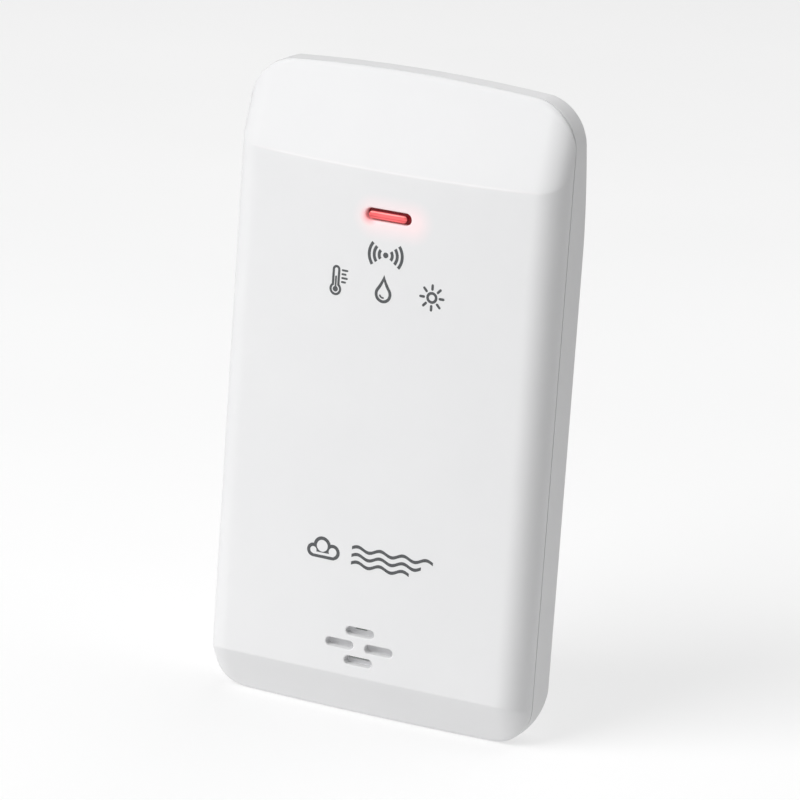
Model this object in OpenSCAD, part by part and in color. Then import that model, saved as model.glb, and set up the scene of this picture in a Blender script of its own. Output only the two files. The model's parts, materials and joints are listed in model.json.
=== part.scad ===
// Wireless outdoor temperature and humidity sensor in a slim two-part case.
// Every shape is drawn in case coordinates: X across the width, Y the depth behind
// the front face, Z the height above the bottom edge. in_case() then moves it so that
// the origin is the centre of the wall keyhole, in the plane of the back face.
// The front looks towards -Y.

/* [Case] */
// Width of the case
case_w = 62; // [61:0.5:64]
// Height of the case
case_h = 116; // [115.5:0.5:116.5]
// Depth of the closed case
case_d = 15.2; // [15.2:0.1:16.4]
// Depth of the front cover, from the middle of its face to the parting line
parting_d = 7; // [6.9:0.1:7.3]
// Thickness of the case walls
wall = 1.6; // [1.5:0.1:1.7]
// Corner radius at the top, seen from the front
top_corner_r = 9; // [8.5:0.5:10]
// Rise of the bowed top edge from the sides to the middle
top_bow = 1.5; // [1.3:0.1:1.8]
// Corner radius at the bottom, seen from the front
bottom_corner_r = 7; // [6:0.5:8]
// Rounding of the back edge at the sides
back_edge_r = 2.2; // [2.2:0.1:2.4]
// Rounding of the back edge along the top and round the top corners
top_back_r = 5.2; // [5:0.1:5.4]
// Height of the slanted cut under the rear cover
rear_chamfer_h = 10.5; // [9.5:0.1:10.7]

/* [Face] */
// Radius of the gentle crown across the face
crown_r = 380; // [360:10:420]
// Radius of the soft shoulders between the face and the sides
shoulder_r = 5; // [4.6:0.1:5.2]
// Height of the crease where the face starts to lean back
top_crease_h = 99.4; // [99:0.1:100]
// Angle of the face above the top crease
top_slope = 19; // [17:1:19]
// Height of the crease where the face turns under
bottom_crease_h = 8.4; // [8:0.1:8.6]
// Angle of the face below the bottom crease
bottom_slope = 30; // [26:1:32]

/* [Face openings] */
// Height of the indicator window
window_h = 91.8; // [91.4:0.1:92.2]
// Length of the indicator window
window_len = 8.7; // [8:0.1:9]
// Height of the opening of the indicator window
window_w = 2.2; // [2:0.1:2.4]
// Height of the middle of the four air slots
vent_h = 14; // [13.8:0.1:14.2]
// Length of an air slot
vent_len = 5.4; // [5:0.1:5.6]
// Width of an air slot
vent_w = 1.55; // [1.4:0.05:1.6]
// Sideways step from the middle to an air slot
vent_dx = 3.82; // [3.7:0.02:3.9]
// Height step from the middle to an air slot
vent_dh = 2.7; // [2.5:0.1:2.9]

/* [Wall mount] */
// Height of the keyhole's round entry
key_h = 101.5; // [101:0.5:102]
// Radius of the keyhole's round entry
key_r = 4; // [3.8:0.1:4]
// Half width of the keyhole's slot
key_slot_r = 2; // [1.8:0.1:2]
// Rise from the entry to the end of the slot
key_rise = 6; // [5.5:0.5:6]

/* [Batteries] */
// Height of the lower end of the cells
cell_h = 30.6; // [30.4:0.1:30.8]
// Half the distance between the two cells' axes
cell_dx = 5.6; // [5.5:0.1:5.7]

/* [Controls] */
// Height of the reset button and the channel switch
control_h = 85.6; // [85.4:0.1:85.8]
// Sideways place of the reset button
reset_x = 6; // [5.8:0.1:6.2]
// Sideways place of the channel switch
channel_x = -4.8; // [-5:0.1:-4.6]

/* [Hidden] */
$fn = 64;

eps = 0.01;
reach = 150;
half_w = case_w / 2;
back_inner_d = case_d - wall;

// shoulders of the face: they bite a little into the crown and into the sides
shoulder_bite = 0.1;
shoulder_x = half_w - shoulder_r + shoulder_bite;
shoulder_d = crown_r - sqrt(pow(crown_r - shoulder_r + shoulder_bite, 2) - pow(shoulder_x, 2));

// screws that join the covers
screw_x = 24.5;
screw_heights = [15.5, 101];
screw_seat_d = 10.2;
screw_r = 1.1;
screw_tip_d = 4;
screw_head_r = 2.5;
screw_head_len = 1.8;

// bowed top edge, with corners that bite a little into it
top_edge_r = (half_w * half_w + top_bow * top_bow) / (2 * top_bow);
top_edge_h = case_h - top_edge_r;
corner_bite = 0.1;
corner_x = half_w - top_corner_r;
corner_h = top_edge_h + sqrt(pow(top_edge_r - top_corner_r + corner_bite, 2) - pow(corner_x, 2));

// the larger rounding of the back edge fades out down the sides
fade_len = 44;
fade_angle = atan((top_back_r - back_edge_r + corner_bite) / fade_len);

// lip behind the front cover's rim, and the seal between it and the rear cover's ledge
lip_inset = 1.7;
lip_w = 1;
lip_low = 6;
lip_end_d = parting_d + 1.75;
seal_near_d = lip_end_d + 0.05;
seal_len = 0.75;
ledge_t = 1.2;

// main board behind the upper half of the face
board_d = 5.2;
board_t = 1;
board_half_w = 21;
board_low = 80.4;
board_high = 106.6;
board_screw_x = 17.8;
board_screw_h = 102.8;
board_back_d = board_d + board_t;

// sensor board behind the air slots
sensor_board_d = 5;
sensor_board_half_w = 13;
sensor_board_low = 7.2;
sensor_board_high = 21;
sensor_screw_x = 10.8;

// screws that hold both boards
small_screw_r = 0.8;
small_screw_len = 2.9;
small_head_r = 1.8;
small_head_len = 1.1;

// standard AAA cells, side by side
cell_dia = 10.5;
cell_len = 44.5;
cell_depth = 8.4;

// battery bay in the rear cover
bay_half_w = 11.6;
bay_low = 26.4;
bay_high = 78.6;
bay_floor_d = 2.15;
bay_floor_t = 0.9;
bay_wall = 2;
bay_end_wall = 1.2;
recess_high = 91.4;
shelf_d = 10.4;
shelf_t = 1;

// battery door and its opening
door_gap = 0.15;
door_half_w = 12.9;
door_low = 24.3;
door_high = 92.7;
door_t = 1.3;
door_inner_d = case_d - door_t;
hook_x = 7;
hook_half_w = 2;
hook_drop = 1.5;
hook_t = 1.1;
latch_half_w = 5;

// switches, with the knob's travel each way from the middle
switch_top_d = 9.4;
channel_travel = 2;
reset_travel = 0.4;
knob_half_w = 1;
knob_half_h = 0.9;
button_r = 1.5;
control_top_d = 12.6;

function crown_drop(x) = crown_r - sqrt(crown_r * crown_r - x * x);

// moves case coordinates to the part's own frame
module in_case() {
    translate([0, -case_d, -key_h]) children();
}

// extrudes a front-view shape from depth near_d to depth far_d
module slab(near_d, far_d) {
    translate([0, far_d, 0]) rotate([90, 0, 0]) linear_extrude(far_d - near_d) children();
}

// a round bar along the depth
module post(x, h, r, near_d, far_d) {
    translate([x, far_d, h]) rotate([90, 0, 0]) cylinder(r = r, h = far_d - near_d);
}

// a box given by its ranges across, in depth and in height
module block(x0, x1, d0, d1, h0, h1) {
    translate([x0, d0, h0]) cube([x1 - x0, d1 - d0, h1 - h0]);
}

// a slot with round ends, seen from the front
module stadium(x, h, len, width) {
    straight = (len - width) / 2;
    translate([x - straight, h - width / 2]) square([2 * straight, width]);
    for (side = [-1, 1]) translate([x + side * straight, h]) circle(d = width);
}

// front-view outline of the case, moved inwards by inset
module outline(inset) {
    w = half_w - inset;
    low = inset;
    low_r = bottom_corner_r - inset;
    high_r = top_corner_r - inset;
    intersection() {
        translate([0, top_edge_h]) circle(r = top_edge_r - inset, $fn = 720);
        union() {
            polygon([[-w + low_r, low], [w - low_r, low], [w, low + low_r],
                     [w, corner_h], [corner_x, corner_h + high_r], [0, case_h + 1],
                     [-corner_x, corner_h + high_r], [-w, corner_h], [-w, low + low_r]]);
            for (side = [-1, 1]) {
                translate([side * corner_x, corner_h]) circle(r = high_r);
                translate([side * (w - low_r), low + low_r]) circle(r = low_r);
            }
        }
    }
}

// cross-section behind the face: a crown with round shoulders, moved inwards by inset
module face_section(inset) {
    intersection() {
        translate([0, crown_r]) circle(r = crown_r - inset, $fn = 720);
        union() {
            translate([-shoulder_x, -1]) square([2 * shoulder_x, reach]);
            translate([-half_w - 1, shoulder_d]) square([case_w + 2, reach]);
            for (side = [-1, 1]) {
                translate([side * shoulder_x, shoulder_d]) circle(r = shoulder_r - inset);
            }
        }
    }
}

// the section run along a line that leans back by slope above the crease
module leaning_section(crease_h, slope, inset) {
    translate([0, 0, crease_h]) rotate([-slope, 0, 0]) translate([0, 0, -reach])
        linear_extrude(2 * reach) face_section(inset);
}

// everything behind the face, moved inwards by inset, as far back as far_d
module front_body(inset, far_d) {
    intersection() {
        slab(-1, far_d) outline(inset);
        translate([0, 0, -1]) linear_extrude(case_h + 2) face_section(inset);
        leaning_section(top_crease_h, top_slope, inset);
        leaning_section(bottom_crease_h, -bottom_slope, inset);
    }
}

// front-view outline of the lip, the seal and the ledge, which run above the cut at the bottom
module rim_outline(inset) {
    intersection() {
        outline(inset);
        translate([-half_w, lip_low - lip_inset + inset]) square([case_w, case_h]);
    }
}

// side view of the rear cover with the straight cut under it
module rear_side_view(inset) {
    back = case_d - inset;
    cut_angle = atan(rear_chamfer_h / (case_d - parting_d));
    polygon([[parting_d - 2, inset], [parting_d - inset * tan(cut_angle / 2), inset],
             [back, rear_chamfer_h + inset * tan(45 - cut_angle / 2)],
             [back, case_h + 1], [parting_d - 2, case_h + 1]]);
}

// section across the rear cover with rounded back corners
module rear_section(inset) {
    w = half_w - inset;
    back = case_d - inset;
    r = back_edge_r - inset / 2;
    polygon([[-w, 0], [w, 0], [w, back - r], [w - r, back], [-w + r, back], [-w, back - r]]);
    for (side = [-1, 1]) translate([side * (w - r), back - r]) circle(r = r);
}

// section of a rounded back edge that reaches sideways from low to high
module back_edge_section(side, low, high, r, inset) {
    near = parting_d - 2;
    back = case_d - inset;
    polygon([[side * low, near], [side * high, near], [side * high, back - r + corner_bite],
             [side * (high - r), back], [side * (high - r), back + 1], [side * low, back + 1]]);
    intersection() {
        translate([side * (high - r), back - r + corner_bite]) circle(r = r);
        translate([min(side * (high + 1), 0), near]) square([high + 1, case_d]);
    }
}

// keeps what lies inside the rounded back edge along the bowed top
module top_back_limit(inset) {
    translate([0, 0, top_edge_h]) rotate([-90, 0, 0]) rotate_extrude($fn = 720)
        back_edge_section(1, 0, top_edge_r - inset + corner_bite, top_back_r - inset, inset);
}

// what the rounded back edge takes away round a top corner and down the side below it
module corner_trim(side, inset) {
    x0 = min(side * corner_x, side * (half_w + 1));
    x1 = max(side * corner_x, side * (half_w + 1));
    high = top_corner_r - inset + corner_bite;
    r = top_back_r - inset;
    difference() {
        block(x0, x1, parting_d - 1, case_d + 2, corner_h, case_h + 2);
        translate([side * corner_x, 0, corner_h]) rotate([-90, 0, 0]) rotate_extrude()
            back_edge_section(1, 0, high, r, inset);
    }
    difference() {
        block(x0, x1, parting_d - 1, case_d + 2, corner_h - fade_len, corner_h + corner_bite);
        translate([side * corner_x, 0, corner_h]) rotate([0, -side * fade_angle, 0])
            translate([0, 0, -reach]) linear_extrude(2 * reach)
            back_edge_section(side, -4, high, r, inset);
    }
}

// everything inside the rear cover's skin, moved inwards by inset, from near_d backwards
module rear_body(inset, near_d) {
    difference() {
        intersection() {
            slab(near_d, case_d + 1) outline(inset);
            translate([0, 0, -1]) linear_extrude(case_h + 2) rear_section(inset);
            translate([-half_w - 1, 0, 0]) rotate([90, 0, 90]) linear_extrude(case_w + 2)
                rear_side_view(inset);
            top_back_limit(inset);
        }
        corner_trim(-1, inset);
        corner_trim(1, inset);
    }
}

// screw posts and board posts that stand on the inside of the face
module front_posts() {
    for (side = [-1, 1]) {
        for (h = screw_heights) post(side * screw_x, h, 2.8, 0, parting_d - 0.1);
        post(side * board_screw_x, board_screw_h, 2.2, 0, board_d);
        post(side * board_screw_x, board_low + 2.4, 1.6, 0, board_d);
        post(side * sensor_screw_x, vent_h, 1.9, 0, sensor_board_d);
    }
}

// ribs that hold the light pipe's flange
module window_ribs() {
    for (side = [-1, 1]) {
        block(side * 6.4 - 0.4, side * 6.4 + 0.4, 0, 3.4, window_h - 3, window_h + 3);
        block(-6.4, 6.4, 0, 3.4, window_h + side * 2.8 - 0.3, window_h + side * 2.8 + 0.3);
    }
}

// lip that reaches from inside the front cover's rim into the rear cover
module front_lip() {
    intersection() {
        front_body(wall / 2, lip_end_d);
        difference() {
            slab(0, lip_end_d) rim_outline(lip_inset);
            slab(-1, lip_end_d + 1) rim_outline(lip_inset + lip_w);
        }
    }
}

module front_cover() {
    color("whitesmoke") in_case() difference() {
        union() {
            difference() {
                front_body(0, parting_d);
                front_body(wall, parting_d + 1);
            }
            front_lip();
            intersection() {
                front_body(wall / 2, parting_d);
                union() {
                    front_posts();
                    window_ribs();
                }
            }
        }
        for (side = [-1, 1]) {
            for (h = screw_heights) {
                post(side * screw_x, h, screw_r + 0.02, screw_tip_d - 0.2, parting_d + 1);
            }
            post(side * board_screw_x, board_screw_h, small_screw_r + 0.02,
                 board_back_d - small_screw_len - 0.2, board_d + 1);
            post(side * sensor_screw_x, vent_h, small_screw_r + 0.02,
                 sensor_board_d + board_t - small_screw_len - 0.2, sensor_board_d + 1);
        }
        slab(-1, 4) stadium(0, window_h, window_len, window_w);
        slab(-1, 4) {
            for (side = [-1, 1]) {
                stadium(0, vent_h + side * vent_dh, vent_len, vent_w);
                stadium(side * vent_dx, vent_h, vent_len, vent_w);
            }
        }
    }
}

// keyhole seen from behind: round entry, slot and round slot end above it
module keyhole() {
    translate([0, key_h]) circle(r = key_r);
    translate([-key_slot_r, key_h]) square([2 * key_slot_r, key_rise]);
    translate([0, key_h + key_rise]) circle(r = key_slot_r);
}

// closed pocket that takes the head of the wall screw
module key_pocket(grow) {
    block(-5.2 - grow, 5.2 + grow, 9.9 - grow, back_inner_d + grow / 4,
          key_h - 5 - grow, key_h + 9.2 + grow);
}

// outer faces of the battery bay and of the control recess above it
module bay_blocks() {
    outer = bay_half_w + bay_wall;
    block(-outer, outer, bay_floor_d, back_inner_d + 0.3, bay_low - bay_wall, bay_high + bay_end_wall);
    block(-outer, outer, shelf_d, back_inner_d + 0.3, bay_high, recess_high + bay_wall);
}

// hollows of the battery bay and of the control recess
module bay_hollows() {
    floor_d = bay_floor_d + bay_floor_t;
    block(-bay_half_w, bay_half_w, floor_d, case_d + 1, bay_low, bay_high);
    block(-bay_half_w, bay_half_w, shelf_d + shelf_t, case_d + 1,
          bay_high + bay_end_wall, recess_high);
    block(-door_half_w - door_gap, door_half_w + door_gap, door_inner_d - door_gap, case_d + 1,
          door_low - door_gap, door_high + door_gap);
}

// openings in the bay's walls: door hooks, contact tails, knob and button
module bay_cuts() {
    for (side = [-1, 1]) {
        block(side * hook_x - hook_half_w - 0.3, side * hook_x + hook_half_w + 0.3,
              back_inner_d - 2.2, back_inner_d + eps, door_low - 3, bay_low + eps);
        block(side * hook_x - hook_half_w - 0.3, side * hook_x + hook_half_w + 0.3,
              back_inner_d - 0.1, door_inner_d, door_low - door_gap, bay_low + eps);
        block(side * cell_dx - 1.2, side * cell_dx + 1.2, board_back_d - 0.2, board_back_d + 1,
              bay_high - eps, bay_high + bay_end_wall + eps);
    }
    block(channel_x - channel_travel - knob_half_w - 0.3, channel_x + channel_travel + knob_half_w + 0.3,
          shelf_d - 1, shelf_d + shelf_t + 1, control_h - knob_half_h - 0.3, control_h + knob_half_h + 0.3);
    post(reset_x, control_h, button_r + 0.3, shelf_d - 1, shelf_d + shelf_t + 1);
}

// ledge round the inside of the rear cover, under the seal
module rear_ledge() {
    near_d = seal_near_d + seal_len;
    difference() {
        intersection() {
            slab(near_d, near_d + ledge_t) outline(wall / 2);
            rear_body(wall / 2, near_d - 1);
        }
        slab(near_d - 1, near_d + ledge_t + 1) rim_outline(lip_inset + lip_w);
    }
}

module rear_cover() {
    color("white") in_case() difference() {
        union() {
            difference() {
                rear_body(0, parting_d);
                rear_body(wall, parting_d - 1);
            }
            rear_ledge();
            key_pocket(1.2);
            bay_blocks();
            for (side = [-1, 1]) {
                for (h = screw_heights) post(side * screw_x, h, 3.7, parting_d, back_inner_d + 0.5);
            }
        }
        key_pocket(0);
        slab(back_inner_d - 1, case_d + 1) keyhole();
        bay_hollows();
        bay_cuts();
        for (side = [-1, 1]) {
            for (h = screw_heights) {
                post(side * screw_x, h, 1.4, parting_d - 1, case_d);
                post(side * screw_x, h, 2.9, screw_seat_d, case_d + 1);
            }
        }
        // finger notch above the battery door
        translate([0, case_d + 3.2, door_high + 1.4]) sphere(r = 4);
    }
}

// tongue at the lower end of the door that reaches under the back wall
module door_hook(x) {
    tongue_d = back_inner_d - 0.1;
    block(x - hook_half_w, x + hook_half_w, tongue_d - hook_t, tongue_d,
          door_low - hook_drop, door_low + 1.4);
    block(x - hook_half_w, x + hook_half_w, tongue_d - hook_t, door_inner_d + 0.2,
          door_low, door_low + 1.4);
}

module battery_door() {
    color("white") in_case() difference() {
        union() {
            block(-door_half_w, door_half_w, door_inner_d, case_d, door_low, door_high);
            for (side = [-1, 1]) door_hook(side * hook_x);
            // springy latch tongue with its snap ridge
            block(-latch_half_w, latch_half_w, 11.8, door_inner_d + 0.2, 90.3, 91.1);
            block(-latch_half_w, latch_half_w, 12.2, 12.8, 91, 91.25);
        }
        // grip grooves near the upper end
        for (i = [0 : 4]) {
            translate([-8, case_d + 0.25, 82 + 1.7 * i]) rotate([0, 90, 0]) cylinder(r = 0.6, h = 16);
        }
    }
}

module case_seal() {
    color("gray") in_case() difference() {
        slab(seal_near_d, seal_near_d + seal_len) rim_outline(lip_inset);
        slab(seal_near_d - 1, seal_near_d + seal_len + 1) rim_outline(lip_inset + lip_w - 0.1);
    }
}

module light_pipe() {
    color("red", 0.8) in_case() {
        slab(0.9, 3.7) stadium(0, window_h, window_len - 0.2, window_w - 0.2);
        slab(1.75, 2.7) stadium(0, window_h, window_len + 2, window_w + 1.8);
    }
}

module led() {
    color("mistyrose") in_case() {
        block(-1.6, 1.6, 4.5, board_d, window_h - 0.8, window_h + 0.8);
        post(0, window_h, 0.65, 4, 4.6);
    }
}

module circuit_board() {
    color("seagreen") in_case() difference() {
        block(-board_half_w, board_half_w, board_d, board_back_d, board_low, board_high);
        for (side = [-1, 1]) {
            post(side * board_screw_x, board_screw_h, small_screw_r + 0.2, board_d - 1, board_back_d + 1);
            // corner cuts beside the cover screws
            post(side * screw_x, screw_heights[1], 4.2, board_d - 1, board_back_d + 1);
        }
    }
}

// chip with legs along two sides, standing on a board's face
module chip(x, h, len, high, d0, d1, legs) {
    pitch = len / (legs + 0.5);
    block(x - len / 2, x + len / 2, d0, d1, h - high / 2, h + high / 2);
    for (side = [-1, 1], i = [0 : legs - 1]) {
        leg_x = x + (i - (legs - 1) / 2) * pitch;
        leg_h = h + side * (high / 2 + 0.35);
        block(leg_x - 0.18, leg_x + 0.18, d0 + 0.2, d1, leg_h - 0.45, leg_h + 0.45);
    }
}

module microcontroller() {
    color("dimgray") in_case() chip(-9.5, 98, 9, 6, board_d - 1.3, board_d, 10);
}

module radio_chip() {
    color("black") in_case() mirror([0, 1, 0]) chip(12, 97, 5.5, 4, -board_back_d - 1, -board_back_d, 7);
}

module crystal() {
    color("silver") in_case() {
        slab(board_back_d, board_back_d + 2.2) stadium(-12, 98, 8, 3.4);
        slab(board_back_d, board_back_d + 0.4) stadium(-12, 98, 8.8, 4.2);
    }
}

// small two-ended parts on the back of the main board
module capacitors() {
    color("tan") in_case() {
        for (i = [0 : 4]) {
            block(-17 + 2.6 * i, -15.4 + 2.6 * i, board_back_d, board_back_d + 0.8, 91.5, 94.2);
        }
        post(-12.4, 103.4, 2, board_back_d, board_back_d + 3.2);
    }
}

module resistors() {
    color("darkslategray") in_case() {
        for (i = [0 : 5]) {
            block(9 + 1.9 * i, 10 + 1.9 * i, board_back_d, board_back_d + 0.5, 91, 92.8);
        }
    }
}

// point on a coil that runs along a line, for a turn angle and a place along the line
function coil_point(radius, angle, along) = [radius * cos(angle), radius * sin(angle), along];

// tube swept along a list of points, each with its own two cross directions
module tube(points, sides, r) {
    count = len(points);
    rings = [for (i = [0 : count - 1])
        let (back = points[max(i - 1, 0)], ahead = points[min(i + 1, count - 1)],
             along = (ahead - back) / norm(ahead - back),
             helper = abs(along[2]) < 0.9 ? [0, 0, 1] : [0, 1, 0],
             u = cross(helper, along) / norm(cross(helper, along)),
             v = cross(along, u))
        for (k = [0 : sides - 1])
            points[i] + r * (cos(360 * k / sides) * u + sin(360 * k / sides) * v)];
    skin = [for (i = [0 : count - 2], k = [0 : sides - 1])
        let (next = (k + 1) % sides)
        [i * sides + k, (i + 1) * sides + k, (i + 1) * sides + next, i * sides + next]];
    first_cap = [for (k = [0 : sides - 1]) k];
    last_cap = [for (k = [0 : sides - 1]) count * sides - 1 - k];
    polyhedron(points = rings, faces = concat(skin, [first_cap, last_cap]), convexity = 8);
}

// helical aerial with straight ends soldered to the board
antenna_turns = 8;
antenna_r = 2;
antenna_len = 7.8;
antenna_wire_r = 0.32;
antenna_steps = 12;

module antenna_coil() {
    turns = [for (i = [0 : antenna_turns * antenna_steps])
        coil_point(antenna_r, 360 * i / antenna_steps, antenna_len * i / (antenna_turns * antenna_steps))];
    color("goldenrod") in_case() translate([7.6, board_back_d + 2.6, 104]) rotate([0, 90, 0])
        tube(turns, 6, antenna_wire_r);
}

module sensor_board() {
    color("seagreen") in_case() difference() {
        block(-sensor_board_half_w, sensor_board_half_w, sensor_board_d, sensor_board_d + board_t,
              sensor_board_low, sensor_board_high);
        for (side = [-1, 1]) {
            post(side * sensor_screw_x, vent_h, small_screw_r + 0.2, sensor_board_d - 1,
                 sensor_board_d + board_t + 1);
        }
    }
}

module humidity_sensor() {
    color("white") in_case() difference() {
        block(-1.5, 1.5, sensor_board_d - 1.2, sensor_board_d, vent_h - 1.5, vent_h + 1.5);
        post(0, vent_h, 0.6, sensor_board_d - 1.5, sensor_board_d - 0.8);
    }
}

// frame that leads the air from the slots to the sensor, with a splash plate across it
splash_d = 2.5;
splash_t = 0.6;
splash_gap = 0.7;

module sensor_shroud() {
    near_d = wall + crown_drop(8.4) + 0.05;
    color("lightgray") in_case() difference() {
        block(-8.4, 8.4, near_d, sensor_board_d, vent_h - 4.6, vent_h + 4.9);
        block(-7.4, 7.4, near_d - 1, splash_d, vent_h - 3.8, vent_h + 4);
        block(-7.4, 7.4, splash_d + splash_t, sensor_board_d + 1, vent_h - 3.8, vent_h + 4);
        // gaps for the air, behind the upper and the lower slot
        slab(splash_d - 0.5, splash_d + splash_t + 0.5) {
            stadium(-1, vent_h + vent_dh, 2.6, splash_gap);
            stadium(-1, vent_h - vent_dh, 4.6, splash_gap);
        }
    }
}

// ribbon of four wires between the two boards, beside the battery bay
lead_pitch = 1;
lead_r = 0.42;
lead_route = [[10, 6.5, 18.6], [11, 6.9, 20], [13.4, 7.2, 21.6], [15.7, 7.2, 23.7], [16.6, 7.2, 27],
              [16.8, 7.2, 32], [16.6, 7.2, 42], [16.6, 7.2, 52], [16.6, 7.2, 62], [16.6, 7.2, 72],
              [16.4, 7.1, 78],
              [15.6, 6.9, 81.6], [15.2, 6.7, 84]];

module sensor_lead() {
    color("gainsboro") in_case() {
        for (i = [0 : 3]) {
            tube([for (p = lead_route) p + [(i - 1.5) * lead_pitch, 0, 0]], 8, lead_r);
        }
    }
}

module reset_switch() {
    color("silver") in_case() difference() {
        block(reset_x - 2.6, reset_x + 2.6, board_back_d, switch_top_d, control_h - 2.6, control_h + 2.6);
        post(reset_x, control_h, button_r + 0.1, switch_top_d - 1.3, switch_top_d + 1);
    }
}

module reset_button() {
    color("black") in_case() post(reset_x, control_h, button_r, switch_top_d - reset_travel - 0.3,
                                  control_top_d);
}

module channel_switch() {
    body = 4.4;
    slot = channel_travel + knob_half_w + 0.2;
    color("silver") in_case() difference() {
        block(channel_x - body, channel_x + body, board_back_d, switch_top_d,
              control_h - 1.9, control_h + 1.9);
        block(channel_x - slot, channel_x + slot, switch_top_d - 1.2, switch_top_d + 1,
              control_h - knob_half_h - 0.1, control_h + knob_half_h + 0.1);
    }
}

module channel_knob() {
    color("black") in_case() block(channel_x - knob_half_w, channel_x + knob_half_w,
                                   switch_top_d - 1, control_top_d,
                                   control_h - knob_half_h, control_h + knob_half_h);
}

// one cell along the height, button end up, from its own flat end
module cell() {
    button_len = 1;
    cylinder(d = cell_dia, h = cell_len - button_len);
    cylinder(r = 1.9, h = cell_len);
}

module battery_left() {
    color("steelblue") in_case() translate([-cell_dx, cell_depth, cell_h]) cell();
}

module battery_right() {
    color("steelblue") in_case() translate([cell_dx, cell_depth, cell_h + cell_len])
        mirror([0, 0, 1]) cell();
}

// conical contact spring from a plate at z = 0 up to its free end
module contact_spring(rise) {
    turns = 4;
    steps = 12;
    wide_r = 3.4;
    narrow_r = 1.9;
    points = [for (i = [0 : turns * steps])
        let (part = i / (turns * steps))
        coil_point(wide_r + (narrow_r - wide_r) * part, 360 * i / steps, rise * part)];
    tube(points, 6, 0.24);
}

// raised pad on two legs that meets a cell's button
module contact_pad(rise) {
    sheet = 0.35;
    translate([-2, -3, rise - sheet]) cube([4, 6, sheet]);
    for (side = [-1, 1]) {
        translate([-2, side * (3 - sheet / 2) - sheet / 2, 0]) cube([4, sheet, rise]);
    }
}

// contact at the upper end of the bay for the left cell's button, with its solder tail
module plus_contact() {
    plate_h = bay_high - 0.45;
    color("silver") in_case() {
        block(-cell_dx - 3.6, -cell_dx + 3.6, 4.6, 12.2, plate_h, plate_h + 0.35);
        translate([-cell_dx, cell_depth, plate_h + 0.1]) mirror([0, 0, 1])
            contact_pad(plate_h - cell_h - cell_len + 0.05);
        block(-cell_dx - 0.8, -cell_dx + 0.8, board_back_d + 0.05, board_back_d + 0.4, plate_h, 83);
    }
}

// spring at the upper end of the bay for the right cell, with its solder tail
module minus_spring() {
    plate_h = bay_high - 0.45;
    color("silver") in_case() {
        block(cell_dx - 3.6, cell_dx + 3.6, 4.6, 12.2, plate_h, plate_h + 0.35);
        translate([cell_dx, cell_depth, plate_h + 0.1]) mirror([0, 0, 1])
            contact_spring(plate_h - cell_h - cell_len - 0.2);
        block(cell_dx - 0.8, cell_dx + 0.8, board_back_d + 0.05, board_back_d + 0.4, plate_h, 82.6);
    }
}

// strip at the lower end of the bay that joins the two cells
module bridge_contact() {
    plate_h = bay_low + 0.1;
    color("silver") in_case() {
        block(-cell_dx - 3.6, cell_dx + 3.6, 4.6, 12.2, plate_h, plate_h + 0.35);
        translate([-cell_dx, cell_depth, plate_h + 0.25]) contact_spring(cell_h - plate_h - 0.55);
        translate([cell_dx, cell_depth, plate_h + 0.1]) contact_pad(cell_h - plate_h - 0.15);
    }
}

// self-tapping screw along the depth, head towards the back, with a cross slot
module screw(x, h, seat_d, tip_d, shank_r, head_r, head_len) {
    difference() {
        union() {
            post(x, h, head_r, seat_d, seat_d + head_len);
            post(x, h, shank_r, tip_d, seat_d + 0.1);
        }
        for (turn = [0, 90]) {
            translate([x, seat_d + head_len, h]) rotate([0, turn, 0])
                cube([head_r * 1.2, head_len, head_r * 0.28], center = true);
        }
    }
}

module case_screws() {
    color("silver") in_case() {
        for (side = [-1, 1], h = screw_heights) {
            screw(side * screw_x, h, screw_seat_d, screw_tip_d, screw_r, screw_head_r, screw_head_len);
        }
    }
}

module board_screws() {
    color("silver") in_case() {
        for (side = [-1, 1]) {
            screw(side * board_screw_x, board_screw_h, board_back_d,
                  board_back_d - small_screw_len, small_screw_r, small_head_r, small_head_len);
            screw(side * sensor_screw_x, vent_h, sensor_board_d + board_t,
                  sensor_board_d + board_t - small_screw_len, small_screw_r, small_head_r, small_head_len);
        }
    }
}

front_cover();
rear_cover();
battery_door();
case_seal();
light_pipe();
led();
circuit_board();
microcontroller();
radio_chip();
crystal();
capacitors();
resistors();
antenna_coil();
sensor_board();
humidity_sensor();
sensor_shroud();
sensor_lead();
reset_switch();
reset_button();
channel_switch();
channel_knob();
battery_left();
battery_right();
plus_contact();
minus_spring();
bridge_contact();
case_screws();
board_screws();
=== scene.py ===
"""Looks of the wireless outdoor climate sensor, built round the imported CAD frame.

Case coordinates in millimetres are used throughout: x across, d depth behind the middle
of the face, h height above the bottom edge. place() turns them into the shared frame.
"""
import json
import math

import bmesh
import bpy
from mathutils import Matrix, Vector
from mathutils.geometry import delaunay_2d_cdt


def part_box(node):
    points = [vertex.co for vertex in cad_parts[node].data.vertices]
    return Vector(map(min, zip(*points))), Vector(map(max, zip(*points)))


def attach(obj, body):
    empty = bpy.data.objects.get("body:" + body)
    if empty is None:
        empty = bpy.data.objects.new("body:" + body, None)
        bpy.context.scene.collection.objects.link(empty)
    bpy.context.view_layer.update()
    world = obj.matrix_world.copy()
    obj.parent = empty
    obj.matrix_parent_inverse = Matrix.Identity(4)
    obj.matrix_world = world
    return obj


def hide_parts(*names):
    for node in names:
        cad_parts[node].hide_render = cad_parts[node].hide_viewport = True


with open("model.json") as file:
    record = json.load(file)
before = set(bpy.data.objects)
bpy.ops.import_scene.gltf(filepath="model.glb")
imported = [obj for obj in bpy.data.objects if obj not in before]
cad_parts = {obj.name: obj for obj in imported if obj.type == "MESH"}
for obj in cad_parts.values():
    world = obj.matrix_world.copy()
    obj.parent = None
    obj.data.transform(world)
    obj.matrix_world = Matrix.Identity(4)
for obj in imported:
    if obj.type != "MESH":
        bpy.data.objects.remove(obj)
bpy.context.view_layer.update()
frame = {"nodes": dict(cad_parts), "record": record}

MM = 0.001
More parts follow.
